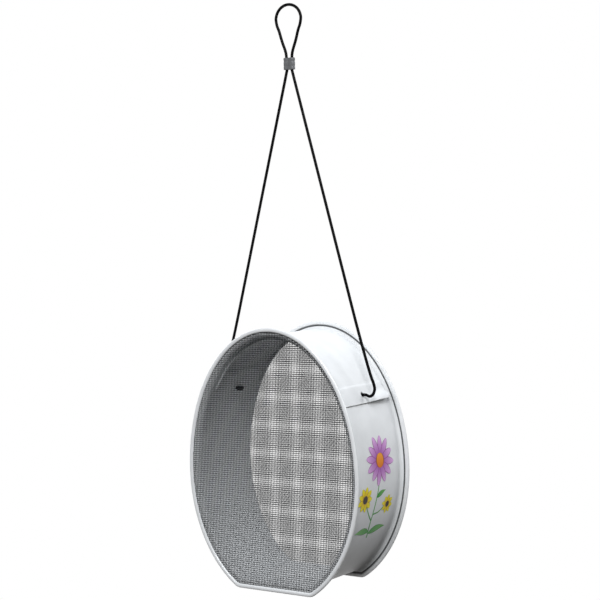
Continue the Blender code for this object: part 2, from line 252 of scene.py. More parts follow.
# %% [markdown]
# ## Black cable
# The carrying cable is twisted steel wire under a thin coat of black nylon, about 3 mm thick.
# The coat gives a soft satin sheen, and the strands below show as faint slanting ridges.
# They follow the cable's own UV map: U runs round it, and V counts its length.

# %% Material: nylon-coated steel cable


def nylon_coated_cable():
    values = {"Base Color": paint("#030304"), "Roughness": 0.42, "Specular IOR Level": 0.06}
    material, tree, shader = new_material("nylon_coated_steel_cable", values)
    uv = node(tree, "UVMap", uv_map="along")
    strands = node(
        tree, "TexWave", {"Scale": 1.0, "Distortion": 0.0}, {"Vector": (uv, 0)},
        bands_direction="DIAGONAL",
    )
    bump = node(
        tree, "Bump", {"Strength": 0.35, "Distance": 0.0002}, {"Height": (strands, "Fac")},
    )
    feed(tree, shader, {"Normal": (bump, 0)})
    return material


cable_material = nylon_coated_cable()
print("made", cable_material.name)

# %% [markdown]
# ## The cable's route
# One cable makes the loop, passes the ferrule twice, runs down both sides, bows out beside the
# drum and turns in through the lid's tabs and the band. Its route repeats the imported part's
# points for the right half, as (x, z), and a smooth curve goes through them.

# %% Route of the cable
RIGHT_HALF = [
    (0.0, 0.0015), (0.00336, 0.00114), (0.00655, 0.00006), (0.00941, -0.00166),
    (0.01181, -0.00396), (0.0136, -0.00671), (0.01472, -0.00977), (0.0151, -0.013),
    (0.01392, -0.01898), (0.01156, -0.02458), (0.00826, -0.03489), (0.00436, -0.04504),
    (0.0033, -0.0516), (0.0033, -0.0636), (0.00372, -0.0666), (0.01392, -0.1037),
    (0.02413, -0.1408), (0.03434, -0.1779), (0.04455, -0.215), (0.05475, -0.2521),
    (0.06496, -0.2892), (0.07186, -0.3142), (0.07786, -0.335), (0.08386, -0.3548),
    (0.08886, -0.3702), (0.09156, -0.3767), (0.09296, -0.3828), (0.09096, -0.3882),
    (0.08706, -0.3905), (0.08276, -0.3892), (0.07926, -0.3892), (0.07461, -0.3892),
    (0.06811, -0.3892),
]


def curve_through(points, steps):
    """Points on the smooth curve through the given ones, with this many steps between two."""
    padded = [points[0] * 2 - points[1], *points, points[-1] * 2 - points[-2]]
    fine = []
    for a, b, c, d in zip(padded, padded[1:], padded[2:], padded[3:]):
        for i in range(steps):
            t = i / steps
            fine.append(
                0.5 * (2 * b + (c - a) * t + (2 * a - 5 * b + 4 * c - d) * t**2
                       + (3 * b - a - 3 * c + d) * t**3)
            )
    return fine + [points[-1]]


right_half = [Vector((x, 0, z)) for x, z in RIGHT_HALF]
left_half = [Vector((-p.x, 0, p.z)) for p in reversed(right_half[1:])]
CABLE_LINE = curve_through(left_half + right_half, 5)
print("points on the route:", len(CABLE_LINE))

# %% [markdown]
# ## The cable's tube
# A ring of corners is carried along the route, turned with the curve so that the strands don't
# twist at the bends, and both open ends are filled. The UV map counts three ridges round the
# cable and one for each 6 mm of its length.

# %% Cable
CABLE_RADIUS = 0.0015
RIDGES_ROUND = 3
RIDGE_LAY = 0.006


def close_ends(piece):
    """Fills each open end of a rolled tube with one face."""
    only(piece)
    bpy.ops.object.mode_set(mode="EDIT")
    bpy.ops.mesh.select_all(action="DESELECT")
    bpy.ops.mesh.select_non_manifold()
    bpy.ops.mesh.edge_face_add()
    bpy.ops.object.mode_set(mode="OBJECT")


def add_tube(name, line, radius, sides):
    """A tube along a line that lies in the plane of the drum, with a UV map along it."""
    count = len(line)
    lengths = [0.0]
    for a, b in zip(line, line[1:]):
        lengths.append(lengths[-1] + (b - a).length)

    def place(column, row):
        before = line[max(row - 1, 0)]
        after = line[min(row + 1, count - 1)]
        along = (after - before).normalized()
        across = along.cross(Vector((0, 1, 0)))
        turn = 2 * math.pi * column / sides
        return line[row] + (across * math.cos(turn) + Vector((0, 1, 0)) * math.sin(turn)) * radius

    tube = rolled_grid(name, sides + 1, count, place)
    layer = tube.data.uv_layers[0]
    layer.name = "along"
    for item in layer.data:
        row = round(item.uv.y * (count - 1))
        item.uv = (item.uv.x * RIDGES_ROUND, lengths[row] / RIDGE_LAY)
    weld(tube)
    close_ends(tube)
    return tube, lengths[-1]


cable, cable_length = add_tube("carrying_cable", CABLE_LINE, CABLE_RADIUS, 16)
smooth(cable, 60)
dress(cable, cable_material)
print("cable:", round(cable_length, 4), "m,", len(cable.data.polygons), "faces")

# %% [markdown]
# ## Crimped aluminium
# The ferrule is a sleeve of soft drawn aluminium. Drawing leaves fine marks along it, about
# 1 mm wide and 6 mm long, and weather has dulled the metal.

# %% Material: crimped aluminium


def crimped_aluminium():
    material, tree, shader = new_material("crimped_aluminium", {"Metallic": 1.0})
    place = node(tree, "TexCoord")
    scratch = node(tree, "Mapping", {"Scale": (900, 900, 160)}, {"Vector": (place, "Object")})
    grain = node(tree, "TexNoise", {"Scale": 1.0, "Detail": 3.0}, {"Vector": (scratch, 0)})
    tone = node(tree, "ValToRGB", links={"Fac": (grain, "Fac")})
    tone.color_ramp.elements[0].color = paint("#4C4D4F")
    tone.color_ramp.elements[1].color = paint("#757678")
    rough = node(tree, "MapRange", {"To Min": 0.4, "To Max": 0.55}, {"Value": (grain, "Fac")})
    bump = node(tree, "Bump", {"Strength": 0.3, "Distance": 0.0001}, {"Height": (grain, "Fac")})
    feed(tree, shader, {"Base Color": (tone, 0), "Roughness": (rough, 0), "Normal": (bump, 0)})
    return material


ferrule_material = crimped_aluminium()
print("made", ferrule_material.name)

# %% [markdown]
# ## Ferrule
# Above the drum the two strands are pressed into one oval sleeve. A grid is rolled round both,
# as two round lobes with a waist between them. The bites of the crimping tool lie at two
# heights, and both ends are slightly rounded.

# %% Ferrule
FERRULE_TOP = -0.0516
FERRULE_HEIGHT = 0.012
FERRULE_RADIUS = 0.0031
FERRULE_HALF_WIDTH = 0.0064
FERRULE_SIDES = 64
FERRULE_STEPS = 24
STRAND_ASIDE = 0.0033
LOBE_SPREAD = 1.6
WAIST_DEPTH = 0.0007
BITE_HEIGHTS = (0.3, 0.7)
BITE_SPREAD = 0.07
BITE_DEPTH = 0.00022
END_SHARE = 0.05
END_ROUNDING = 0.00035


def apply_all(piece):
    """Applies the piece's modifiers from the top of its list."""
    only(piece)
    for modifier in list(piece.modifiers):
        bpy.ops.object.modifier_apply(modifier=modifier.name)


def finish_piece(piece, material, edge, segments=2, degrees=35):
    """Rounds sharp edges a little, as real ones catch the light, then shades and dresses."""
    modifier = piece.modifiers.new("soft_edges", "BEVEL")
    modifier.width = edge
    modifier.segments = segments
    modifier.limit_method = "ANGLE"
    modifier.angle_limit = math.radians(40)
    apply_all(piece)
    smooth(piece, degrees)
    dress(piece, material)


def ferrule_place(column, row):
    turn = 2 * math.pi * column / FERRULE_SIDES
    height = row / FERRULE_STEPS
    side, front = math.cos(turn), math.sin(turn)
    bite = sum(math.exp(-((height - middle) / BITE_SPREAD) ** 2) for middle in BITE_HEIGHTS)
    end = min(height, 1 - height)
    round_off = END_ROUNDING * max(0, 1 - end / END_SHARE) ** 2
    radius = FERRULE_RADIUS - round_off - BITE_DEPTH * bite
    shift = STRAND_ASIDE * max(-1, min(1, side * LOBE_SPREAD))
    waist = WAIST_DEPTH * (1 + math.cos(math.pi * shift / STRAND_ASIDE)) / 2
    x = max(-FERRULE_HALF_WIDTH, min(FERRULE_HALF_WIDTH, shift + radius * side))
    y = (radius - waist) * front
    return Vector((x, y, FERRULE_TOP - FERRULE_HEIGHT * height))


ferrule = rolled_grid("ferrule_sleeve", FERRULE_SIDES + 1, FERRULE_STEPS + 1, ferrule_place)
weld(ferrule)
close_ends(ferrule)
finish_piece(ferrule, ferrule_material, 0.00025, degrees=50)
print("ferrule:", len(ferrule.data.polygons), "faces")

# %% [markdown]
# ## Cable stops
# Inside the drum each cable end carries a short black sleeve, too wide for the hole, so the
# drum hangs from the two sleeves. Each one starts as a cylinder, gets a bore for the cable and
# rounded ends. It is modelled once on the right and copied to the left with its own mesh.

# %% Cable stops
STOP_OUTER_END = 0.0746
STOP_LENGTH = 0.006
STOP_MIDDLE = STOP_OUTER_END - STOP_LENGTH / 2
STOP_RADIUS = 0.0024
STOP_BORE_RADIUS = 0.00165
DRILL_LENGTH = 0.24


def finish_place(piece):
    """Moves the piece's place, turn and size into its mesh."""
    only(piece)
    bpy.ops.object.transform_apply(location=True, rotation=True, scale=True)


def cross_rod(radius, length=DRILL_LENGTH, middle=0.0, sides=48):
    """A round rod along X at the height of the cable holes, as a piece or as a drill."""
    bpy.ops.object.select_all(action="DESELECT")
    bpy.ops.mesh.primitive_cylinder_add(
        vertices=sides, radius=radius, depth=length,
        location=(middle, 0, CABLE_HOLES_Z), rotation=(0, math.pi / 2, 0),
    )
    return bpy.context.object


def cut(piece, cutter):
    """Cuts the cutter's shape out of the piece and removes the cutter."""
    modifier = piece.modifiers.new("cut", "BOOLEAN")
    modifier.operation = "DIFFERENCE"
    modifier.solver = "EXACT"
    modifier.object = cutter
    only(piece)
    bpy.ops.object.modifier_apply(modifier=modifier.name)
    bpy.data.objects.remove(cutter)


def add_stop(name):
    stop = cross_rod(STOP_RADIUS, STOP_LENGTH, STOP_MIDDLE, 40)
    stop.name = name
    finish_place(stop)
    cut(stop, cross_rod(STOP_BORE_RADIUS, 2 * STOP_LENGTH, STOP_MIDDLE))
    finish_piece(stop, cable_material, 0.0003, 3, 40)
    return stop


def mirrored_copy(piece, name):
    """A copy with its own mesh on the other side of the drum."""
    only(piece)
    bpy.ops.object.duplicate(linked=False)
    copy = bpy.context.object
    copy.name = name
    bpy.ops.transform.mirror(constraint_axis=(True, False, False), center_override=(0, 0, 0))
    finish_place(copy)
    weld(copy, 0.000001)
    return copy


stop_right = add_stop("stop_sleeve_right")
stop_left = mirrored_copy(stop_right, "stop_sleeve_left")
print("stops:", len(stop_left.data.polygons), "faces each")

# %% [markdown]
# ## White powder coat
# The sheet steel is sprayed with dry white powder and baked. The coat flows into a smooth satin
# skin with a very fine orange peel, about one wave a millimetre, and a hardly visible change of
# tone. A seam attribute paints shade, dark grey, into the tight seam between the band's flare and
# the rim, and an "inside" attribute paints the inner wall lighter, as painted light.

# %% Material: white powder coat


def white_powder_coat(name, gloss, roughness):
    material, tree, shader = new_material(name, {"Specular IOR Level": gloss})
    place = node(tree, "TexCoord")
    mottle = node(tree, "TexNoise", {"Scale": 55.0, "Detail": 3.0}, {"Vector": (place, "Object")})
    tone = node(tree, "ValToRGB", links={"Fac": (mottle, "Fac")})
    tone.color_ramp.elements[0].position = 0.35
    tone.color_ramp.elements[0].color = paint("#ECEDEE")
    tone.color_ramp.elements[1].position = 0.65
    tone.color_ramp.elements[1].color = paint("#F2F3F4")
    coat = (tone, "Color")
    # A Mix node set to colours takes them at sockets 6 and 7 and gives the result at output 2.
    # Painted light and shade: the marked inner wall is painted lighter, and the marked seam dark
    # grey.
    for mark, code in (("inside", "#FAFBFC"), ("seam", "#5A5B5C")):
        share = node(tree, "Attribute", attribute_name=mark)
        links = {"Factor": (share, "Fac"), 6: coat}
        mixed = node(tree, "Mix", {7: paint(code)}, links, data_type="RGBA")
        coat = (mixed, 2)
    rough = node(
        tree, "MapRange", {"To Min": roughness - 0.03, "To Max": roughness + 0.03},
        {"Value": (mottle, "Fac")},
    )
    peel = node(tree, "TexNoise", {"Scale": 900.0, "Detail": 2.0}, {"Vector": (place, "Object")})
    bump = node(tree, "Bump", {"Strength": 0.12, "Distance": 0.0002}, {"Height": (peel, "Fac")})
    feed(tree, shader, {"Base Color": coat, "Roughness": (rough, 0), "Normal": (bump, 0)})
    return material


sheet_material = white_powder_coat("white_powder_coat_sheet", 0.1, 0.35)
rim_material = white_powder_coat("white_powder_coat_rim", 0.8, 0.2)
print("made", sheet_material.name, "and", rim_material.name)

# %% [markdown]
# ## Drum band
# A flat strip is rolled round the oval, and both edges are flared outwards in a quarter circle
# that ends in a flange. Its rows are given as (rise, depth, seam shade), where seam shade is how
# much painted shade darkens the row beside the rim, and a helper carries them once round the oval.
# Solidify then gives the strip the sheet's thickness.

# %% Rolled band
SEATED_EDGE = 0.0077
FLANGE_FOOT = FLARE + 0.0008
FLARE_ROWS = ((0, 1), (7, 1), (9.5, 0.3), (12, 0), *((turn, 0) for turn in range(18, 91, 8)))
BARREL_ROWS = (0.038, 0.03, 0.02, 0.01)


def thicken(piece, thickness):
    """Gives an open surface the thickness of its sheet, half of it on each side."""
    modifier = piece.modifiers.new("sheet", "SOLIDIFY")
    modifier.thickness = thickness
    modifier.offset = 0
    modifier.use_even_offset = True


def rolled_round(name, section):
    """Carries a section of (rise, depth, painted seam shade) points once round the oval."""
    columns = len(STATIONS) + 1

    def place(column, row):
        rise, depth, _ = section[row]
        return on_oval(STATIONS[column % len(STATIONS)], rise, depth)

    piece = rolled_grid(name, columns, len(section), place)
    # The third value of each row is painted shade for the seam, kept as an attribute.
    seam = piece.data.attributes.new("seam", "FLOAT", "POINT")
    for number, item in enumerate(seam.data):
        item.value = section[number // columns][2]
    weld(piece)
    return piece


def band_section():
    """The strip's rows from front to back. FLARE_ROWS holds degrees and the share of painted seam
    shade.
    """
    radius = FLARE + SHEET / 2
    flange = FLARE_START + radius
    half = [(SEATED_EDGE, flange, 1.0), (FLANGE_FOOT, flange, 1.0)]
    for degrees, seam in FLARE_ROWS:
        turn = math.radians(degrees)
        half.append((FLARE - radius * math.sin(turn), FLARE_START + radius * math.cos(turn), seam))
    half += [(-SHEET / 2, depth, 0.0) for depth in BARREL_ROWS]
    front = [(rise, -depth, seam) for rise, depth, seam in half]
    return front + [(-SHEET / 2, 0.0, 0.0)] + list(reversed(half))


def mark_lightened_inside(piece):
    """Marks the inner wall and the flanges' outer faces, which are painted lighter as painted
    light, and clears the painted seam shade there.
    """
    inside = piece.data.attributes.new("inside", "FLOAT", "POINT")
    seam = piece.data.attributes["seam"]
    for number, corner in enumerate(piece.data.vertices):
        outwards = Vector((corner.co.x, 0, corner.co.z - WIDEST_Z)).normalized()
        faces_away = corner.normal.y * corner.co.y > 0 and abs(corner.normal.y) > 0.3
        if faces_away or corner.normal.dot(outwards) < -0.5:
            inside.data[number].value = 1.0
            seam.data[number].value = 0.0


band = rolled_round("flared_drum_band", band_section())
thicken(band, SHEET)
apply_all(band)
mark_lightened_inside(band)
print("band:", len(band.data.polygons), "faces before it is cut")

# %% [markdown]
# ## Fill opening and cable holes
# The crown is cut open between the flares by a block whose lower edges are bevelled, which
# rounds the opening's lower corners. One long rod drills both cable holes across the drum.

# %% Openings of the band
FILL_BOTTOM = WIDEST_Z + 0.099
FILL_TOP = WIDEST_Z + 0.157
FILL_WIDTH = 0.205
FILL_HALF_DEPTH = FLARE_START - 0.005
FILL_CORNER = 0.008
BAND_HOLE_GAP = 0.0004
SHEET_EDGE = 0.00018


def fill_cutter():
    bpy.ops.object.select_all(action="DESELECT")
    bpy.ops.mesh.primitive_cube_add(size=1, location=(0, 0, (FILL_BOTTOM + FILL_TOP) / 2))
    cutter = bpy.context.object
    cutter.scale = (FILL_WIDTH, 2 * FILL_HALF_DEPTH, FILL_TOP - FILL_BOTTOM)
    finish_place(cutter)
    bpy.ops.object.mode_set(mode="EDIT")
    bpy.ops.mesh.select_all(action="DESELECT")
    bpy.ops.object.mode_set(mode="OBJECT")
    bpy.context.tool_settings.mesh_select_mode = (False, True, False)
    for edge in cutter.data.edges:
        a, b = (cutter.data.vertices[i].co for i in edge.vertices)
        lowest = max(a.z, b.z) < FILL_BOTTOM + 0.001
        edge.select = lowest and abs(a.y - b.y) < 0.001
    bpy.ops.object.mode_set(mode="EDIT")
    bpy.ops.mesh.bevel(offset=FILL_CORNER, segments=10, affect="EDGES")
    bpy.ops.object.mode_set(mode="OBJECT")
    return cutter


cut(band, fill_cutter())
cut(band, cross_rod(CABLE_RADIUS + BAND_HOLE_GAP))
finish_piece(band, sheet_material, SHEET_EDGE)
print("band:", len(band.data.polygons), "faces")

# %% [markdown]
# ## Lips of the opening
# Two narrow upright strips, the lips, stiffen the long edges of the opening from inside. They
# are rolled under the crown and joined into one piece.

# %% Lips
LIP_TURN = 0.925
LIP_STEPS = 60
LIP_ROWS = 5
LIP_HEIGHT = 0.0026
LIP_SHEET = 0.0006


def on_crown(turn, rise, depth):
    """A place on the crown. A turn below zero lies left of the top."""
    place = on_oval(crown_station(abs(turn)), rise, depth)
    if turn < 0:
        place.x = -place.x
    return place


def lip_strip(depth):
    turns = [LIP_TURN * (i / LIP_STEPS - 1) for i in range(2 * LIP_STEPS + 1)]

    def place(column, row):
        rise = -SHEET / 2 - LIP_HEIGHT * row / (LIP_ROWS - 1)
        return on_crown(turns[column], rise, depth)

    strip = rolled_grid("lip_strip", len(turns), LIP_ROWS, place)
    weld(strip)
    return strip


def add_lips(name):
    front = lip_strip(-FILL_HALF_DEPTH - LIP_SHEET / 2)
    pair = lip_strip(FILL_HALF_DEPTH + LIP_SHEET / 2)
    only(pair)
    front.select_set(True)
    bpy.ops.object.join()
    pair.name = name
    thicken(pair, LIP_SHEET)
    finish_piece(pair, sheet_material, 0.00015)
    return pair


lips = add_lips("opening_lips")
print("lips:", len(lips.data.polygons), "faces")

# %% [markdown]
# ## Screen-printed ink
# The right wall carries a small flower print. Ink is pressed through a fine screen on to the
# coat, one colour after another, so the print is a very thin coloured skin. Each ink runs from
# one tone at a shape's root to another at its tip, with a darker outline and, on petals and
# leaves, veins. These follow the shape's own UV map: U goes across it, V from root to tip.

# %% Material: screen-printed ink


def printed_ink(name, root, tip, line, veins=0.0):
    values = {"Roughness": 0.38, "Specular IOR Level": 0.2}
    material, tree, shader = new_material(name, values)
    uv = node(tree, "UVMap", uv_map="UVMap")
    flat = node(tree, "SeparateXYZ", links={0: (uv, 0)})
    tone = node(tree, "ValToRGB", links={"Fac": (flat, "Y")})
    tone.color_ramp.elements[0].position = 0.15
    tone.color_ramp.elements[0].color = paint(root)
    tone.color_ramp.elements[1].position = 0.85
    tone.color_ramp.elements[1].color = paint(tip)
    middle = node(tree, "Math", {1: 0.5}, {0: (flat, "X")}, operation="SUBTRACT")
    aside = node(tree, "Math", links={0: (middle, 0)}, operation="ABSOLUTE")
    edge = node(tree, "MapRange", {"From Min": 0.38, "From Max": 0.46}, {"Value": (aside, 0)})
    # Forty-four radians across the shape are seven ripples.
    across = node(tree, "Math", {1: 44.0}, {0: (flat, "X")}, operation="MULTIPLY")
    ripple = node(tree, "Math", links={0: (across, 0)}, operation="SINE")
    ribs = node(
        tree, "MapRange", {"From Min": 0.3, "From Max": 1.0, "To Max": veins},
        {"Value": (ripple, 0)},
    )
    marks = node(tree, "Math", links={0: (edge, 0), 1: (ribs, 0)}, operation="MAXIMUM")
    drawn = node(
        tree, "Mix", {7: paint(line)}, {"Factor": (marks, 0), 6: (tone, "Color")},
        data_type="RGBA",
    )
    place = node(tree, "TexCoord")
    film = node(tree, "TexNoise", {"Scale": 1500.0, "Detail": 1.0}, {"Vector": (place, "Object")})
    bump = node(tree, "Bump", {"Strength": 0.1, "Distance": 0.0001}, {"Height": (film, "Fac")})
    feed(tree, shader, {"Base Color": (drawn, 2), "Normal": (bump, 0)})
    return material


INKS = {
    "violet": printed_ink("violet_screen_ink", "#B06CBB", "#E6B4EA", "#8A3D86", 0.4),
    "yellow": printed_ink("yellow_screen_ink", "#F4CC08", "#FDF62A", "#B08A00", 0.25),
    "orange": printed_ink("orange_screen_ink", "#E07A10", "#F2A030", "#7A3A08"),
    "brown": printed_ink("dark_brown_screen_ink", "#1C120B", "#2A1B10", "#0E0906"),
    "green": printed_ink("green_screen_ink", "#2F8F2B", "#6DB85A", "#1F6A22", 0.2),
}
print("inks:", sorted(INKS))

# %% [markdown]
# ## The wall as a flat sheet
# The print is drawn in millimetres on the flat wall, U towards the back and V upwards from the
# widest line, and laid round the oval like a transfer: the length along the wall is measured
# at many turns, and a drawn height is looked up among them.

# %% Flat wall
INK_LIFT = 0.0001
WALL_TURNS = np.linspace(0, 0.75, 300)


def wall_lengths(station_at):
    """How far along the wall each turn lies from the widest line."""
    places = [on_oval(station_at(turn), 0, 0) for turn in WALL_TURNS]
    steps = [(b - a).length for a, b in zip(places, places[1:])]
    return np.concatenate(([0], np.cumsum(steps)))


LENGTHS_UP = wall_lengths(lambda turn: crown_station(math.pi / 2 - turn))
LENGTHS_DOWN = wall_lengths(bowl_station)


def on_wall(u, v, lift):
    """A point of the flat drawing, in millimetres, laid on the right wall."""
    if v >= 0:
        station = crown_station(math.pi / 2 - np.interp(v / 1000, LENGTHS_UP, WALL_TURNS))
    else:
        station = bowl_station(np.interp(-v / 1000, LENGTHS_DOWN, WALL_TURNS))
    return on_oval(station, INK_LIFT + lift, u / 1000)


print("wall:", round(LENGTHS_UP[-1], 3), "m up and", round(LENGTHS_DOWN[-1], 3), "m down")

# %% [markdown]
# ## Shapes of the print
# Each petal, leaf and stem is one flat grid: its rows run along the shape, its columns across,
# and a width for each row gives the outline. Shapes that overlap lie in different layers.

# %% Shapes of the print
INK_LAYER = 0.00003
SHAPE_COLUMNS = 9


def petal_width(t):
    return math.sin(math.pi * min(1.0, 0.1 + 0.9 * t)) ** 0.6


def leaf_width(t):
    return math.sin(math.pi * t ** 0.75) ** 1.1


def round_width(t):
    return math.sqrt(max(0.0, 1 - (2 * t - 1) ** 2))


def stem_width(t):
    return 1 - 0.35 * t


def add_print_shape(middle_line, width, width_at, layer):
    """A flat shape round a line of (u, v) points, as wide at each point as width_at says."""
    count = len(middle_line)

    def place(column, row):
        before = middle_line[max(row - 1, 0)]
        after = middle_line[min(row + 1, count - 1)]
        along = (after - before).normalized()
        share = 2 * column / (SHAPE_COLUMNS - 1) - 1
        aside = Vector((along.y, -along.x)) * share * width / 2 * width_at(row / (count - 1))
        flat = middle_line[row] + aside
        return on_wall(flat.x, flat.y, layer * INK_LAYER)

    shape = rolled_grid("print_shape", SHAPE_COLUMNS, count, place)
    weld(shape, 0.0000005)
    return shape


def straight(start, turn, length, bend=0.0, count=15):
    """Points from the start in one direction, bending sideways towards the end."""
    ahead = Vector((math.sin(turn), math.cos(turn)))
    aside = Vector((ahead.y, -ahead.x))
    steps = [i / (count - 1) for i in range(count)]
    return [start + ahead * length * t + aside * bend * t * t for t in steps]


print("a petal's width halfway:", round(petal_width(0.5), 2), "of its full width")

# %% [markdown]
# ## Flowers, stems and leaves
# The design has one large violet bloom and two small yellow ones on thin stems with three
# leaves. All shapes of one colour are joined into one film.

# %% Printed flowers
STEM_LAYER = 0
LEAF_LAYER = 1
PETAL_LAYER = 3
HEART_LAYER = 7
INK_THICKNESS = 0.00002

# Middle, number of petals, their distance, length and width, and the round centre's radius
BLOOMS = (
    ((7, 13), 12, 5.5, 19.5, 8.2, 7.6),
    ((-20, -23), 9, 3.0, 10.0, 6.0, 4.3),
    ((24, -34), 8, 2.4, 7.5, 4.8, 3.2),
)

# Points and width
STEMS = (
    ([(0, -67), (-2, -52), (0, -35), (4, -15), (7, 4)], 1.9),
    ([(-1.5, -48), (-9, -40), (-17, -29)], 1.5),
    ([(-0.5, -41), (9, -40), (19, -35)], 1.5),
)

# Start, direction in radians from straight up, length, bend and width
LEAVES = (
    ((-1.0, -60), -1.25, 26, -7, 7.5),
    ((-1.0, -62), 1.2, 30, 8, 8.0),
    ((2.0, -24), 1.0, 17, 4, 5.5),
)


def add_bloom(middle, petals, inner, length, width, disc):
    """A flower seen from the front: a ring of petals and a round centre."""
    middle = Vector(middle)
    ring = []
    for i in range(petals):
        turn = 2 * math.pi * (i + 0.3) / petals
        reach = length * (1 + 0.06 * math.sin(2.4 * i))
        start = middle + Vector((math.sin(turn), math.cos(turn))) * inner
        line = straight(start, turn, reach)
        ring.append(add_print_shape(line, width, petal_width, PETAL_LAYER + i % 3))
    heart_line = straight(middle - Vector((0, disc)), 0.0, 2 * disc, count=21)
    heart = add_print_shape(heart_line, 2 * disc, round_width, HEART_LAYER)
    return ring, heart


def face_outwards(piece):
    """Turns all faces of a closed piece outwards."""
    only(piece)
    bpy.ops.object.mode_set(mode="EDIT")
    bpy.ops.mesh.select_all(action="SELECT")
    bpy.ops.mesh.normals_make_consistent(inside=False)
    bpy.ops.object.mode_set(mode="OBJECT")


def ink_together(name, shapes, ink):
    """Joins the shapes of one colour and gives the film its thickness."""
    film = shapes[0]
    only(film)
    for shape in shapes[1:]:
        shape.select_set(True)
    if len(shapes) > 1:
        bpy.ops.object.join()
    film.name = name
    modifier = film.modifiers.new("film", "SOLIDIFY")
    modifier.thickness = INK_THICKNESS
    modifier.offset = -1
    apply_all(film)
    face_outwards(film)
    dress(film, INKS[ink])
    return film


violet, left_yellow, right_yellow = [add_bloom(*bloom) for bloom in BLOOMS]
greens = [
    add_print_shape(curve_through([Vector(p) for p in points], 8), width, stem_width, STEM_LAYER)
    for points, width in STEMS
]
greens += [
    add_print_shape(straight(Vector(start), turn, length, bend), width, leaf_width, LEAF_LAYER)
    for start, turn, length, bend, width in LEAVES
]
prints = [
    ink_together("print_green", greens, "green"),
    ink_together("print_violet", violet[0], "violet"),
    ink_together("print_yellow", left_yellow[0] + right_yellow[0], "yellow"),
    ink_together("print_orange", [violet[1]], "orange"),
    ink_together("print_brown", [left_yellow[1], right_yellow[1]], "brown"),
]
for film in prints:
    print(film.name, len(film.data.polygons), "faces")

# %% [markdown]
# ## Rims
# Each rim is a strip rolled into a bead over the flange and clamps the screen. Its section
# is a slightly squared ring of sheet, open on the inner side, where wire and flange enter. It
# is carried round the oval, in front and at the back. Painted shade darkens the bead's edge
# beside the band's flare.

# %% Rims
BEAD_RISE = 0.00225
BEAD_DEPTH = 0.0018
BEAD_MIDDLE = FACE_FRONT - BEAD_DEPTH
BEAD_TURN = 172
BEAD_STEPS = 32
BEAD_SQUARING = 0.85
SHADED_SEAM_STEPS = 2
SEAM_SHADE_FADE_STEPS = 4


def ease(share):
    """Goes gently from 0 to 1."""
    share = max(0.0, min(1.0, share))
    return share * share * (3 - 2 * share)


def squared(value):
    """A sine or cosine, moved outwards so that its circle turns a little square."""
    return math.copysign(abs(value) ** BEAD_SQUARING, value)


def bead_section(side):
    """The bead's points as (rise, depth, painted seam shade), round its outer skin and back along
    the inner.
    """
    middle = RIM_RISE - BEAD_RISE
    outer = []
    inner = []
    for i in range(BEAD_STEPS + 1):
        turn = math.radians(-BEAD_TURN + 2 * BEAD_TURN * i / BEAD_STEPS)
        # Painted shade on the bead's edge beside the band's flare, fading out over a few steps.
        seam = 1 - ease((i - SHADED_SEAM_STEPS) / SEAM_SHADE_FADE_STEPS)
        for ring, shrink in ((outer, 0.0), (inner, SHEET)):
            rise = middle + (BEAD_RISE - shrink) * squared(math.cos(turn))
            depth = BEAD_MIDDLE + (BEAD_DEPTH - shrink) * squared(math.sin(turn))
            ring.append((rise, side * depth, seam))
    return outer + list(reversed(inner)) + outer[:1]


def add_rim(name, side):
    rim = rolled_round(name, bead_section(side))
    smooth(rim, 50)
    dress(rim, rim_material)
    return rim


front_rim = add_rim("rolled_front_rim", -1)
rear_rim = add_rim("rolled_rear_rim", 1)
print("rims:", len(front_rim.data.polygons), "faces each")

# %% [markdown]
# ## Lid
# The lid is one curved strip of the same sheet. It lies on the crown between the two flares,
# and its tabs step outwards over a fold and end in round corners beside the cable holes. The
# grid's columns follow the crown from the left tab to the right one, and where a tab ends the
# rows draw together, which rounds its corners. On this feeder the rear corner of the right tab
# has been bent outwards, so its rows rise there.

# %% Lid
LID_GAP = 0.0003
LID_RISE = LID_GAP + SHEET / 2
FOLD_STEP = 0.0006
TAB_RISE = LID_RISE + FOLD_STEP
FOLD_TOP_TURN = 0.87267
FOLD_TURN = 0.89663
TAB_END_TURN = 1.03636
TAB_CORNER = 0.0045
LENGTH_OF_ONE_TURN = 0.1075
CORNER_TURN = TAB_CORNER / LENGTH_OF_ONE_TURN
LID_HALF_DEPTH = FLARE_START - 0.001
LID_ROWS = 29
TAB_CURL = 0.0042
CURL_TURN = 0.94
CURL_TURN_SPREAD = 0.09
CURL_DEPTH = 0.004
CURL_DEPTH_SPREAD = 0.022
TAB_HOLE_GAP = 0.001


def lid_turns():
    """Turns from the top to the right tab's end, close together at the fold and the corners."""
    turns = [FOLD_TOP_TURN * i / 44 for i in range(44)]
    turns += [FOLD_TOP_TURN + (FOLD_TURN - FOLD_TOP_TURN) * i / 8 for i in range(8)]
    last = TAB_END_TURN - CORNER_TURN
    turns += [FOLD_TURN + (last - FOLD_TURN) * i / 8 for i in range(8)]
    turns += [last + CORNER_TURN * math.sin(math.pi / 2 * i / 10) for i in range(11)]
    return turns


def lid_rise(turn):
    """The tab's step outwards, eased at both ends of the fold."""
    share = (turn - FOLD_TOP_TURN) / (FOLD_TURN - FOLD_TOP_TURN)
    return LID_RISE + (TAB_RISE - LID_RISE) * ease(share)


def tab_curl(turn, depth):
    """How far the right tab's rear corner is bent outwards."""
    along = ease((turn - CURL_TURN) / CURL_TURN_SPREAD)
    across = ease((depth - CURL_DEPTH) / CURL_DEPTH_SPREAD)
    return TAB_CURL * along * across


def lid_place(column, row):
    turn = LID_TURNS[column]
    into = max(0.0, abs(turn) - (LID_TURNS[-1] - CORNER_TURN)) / CORNER_TURN
    half = LID_HALF_DEPTH - TAB_CORNER * (1 - math.sqrt(max(0.0, 1 - into * into)))
    depth = half * (2 * row / (LID_ROWS - 1) - 1)
    return on_crown(turn, lid_rise(abs(turn)) + tab_curl(turn, depth), depth)


